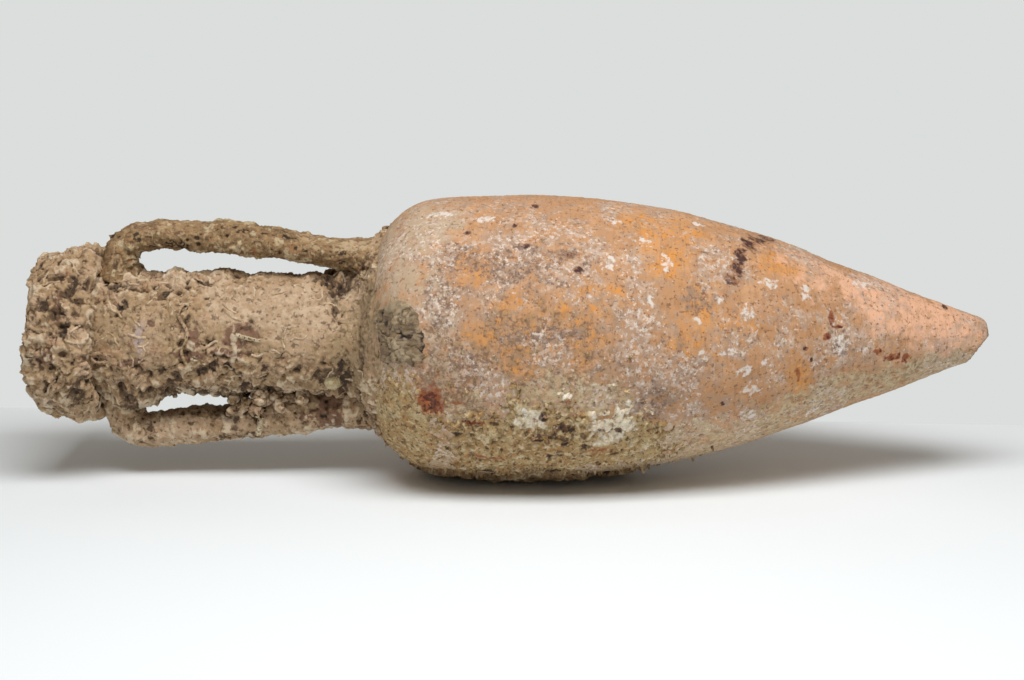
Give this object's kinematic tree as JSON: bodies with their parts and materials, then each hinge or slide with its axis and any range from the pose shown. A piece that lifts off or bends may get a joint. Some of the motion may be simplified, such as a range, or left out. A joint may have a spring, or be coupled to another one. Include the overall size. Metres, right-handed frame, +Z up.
{
  "type": "transport amphora",
  "caption": "Pointed wine transport amphora with a collar rim, long neck, two strap handles and a solid toe, lying on its side under a marine crust.",
  "frame": {"origin": "on the ground under the middle of the jar's length and width, which is the bottom centre of its bounding box", "axes": "+X along the jar's axis from mouth to toe, +Y away from the pictured side, +Z up, with the two handles one above the other in the XZ plane"},
  "size_m": [0.9878, 0.2874, 0.2935],
  "materials": {
    "fired_clay": "matt, unglazed, worn",
    "pale_clay": "matt, unglazed, paler with a lime bloom",
    "handle_clay": "matt, darkened by the sea",
    "limy_crust": "rough marine lime crust",
    "dark_crust": "rough dark marine crust",
    "green_crust": "thin grey-green marine crust",
    "oyster_lime": "dark layered shell",
    "clam_lime": "pale ribbed shell",
    "worm_lime": "chalky tube"
  },
  "bodies": {
    "root": {"rim_collar": "pale_clay", "neck": "pale_clay", "shoulder": "pale_clay", "belly": "fired_clay", "lower_body": "fired_clay", "toe_spike": "fired_clay", "upper_handle": "handle_clay", "lower_handle": "handle_clay", "rim_crust": "limy_crust", "neck_crust": "limy_crust", "root_crust": "dark_crust", "upper_handle_crust": "dark_crust", "lower_handle_crust": "limy_crust", "gap_nodules": "limy_crust", "shoulder_crust": "green_crust", "belly_crust": "green_crust", "rest_crust": "dark_crust", "oyster_shell": "oyster_lime", "clam_shell": "clam_lime", "coil_worm_tube": "worm_lime", "neck_worm_tube": "worm_lime", "stick_worm_tube": "worm_lime", "handle_worm_tube": "worm_lime"}
  },
  "joints": []
}
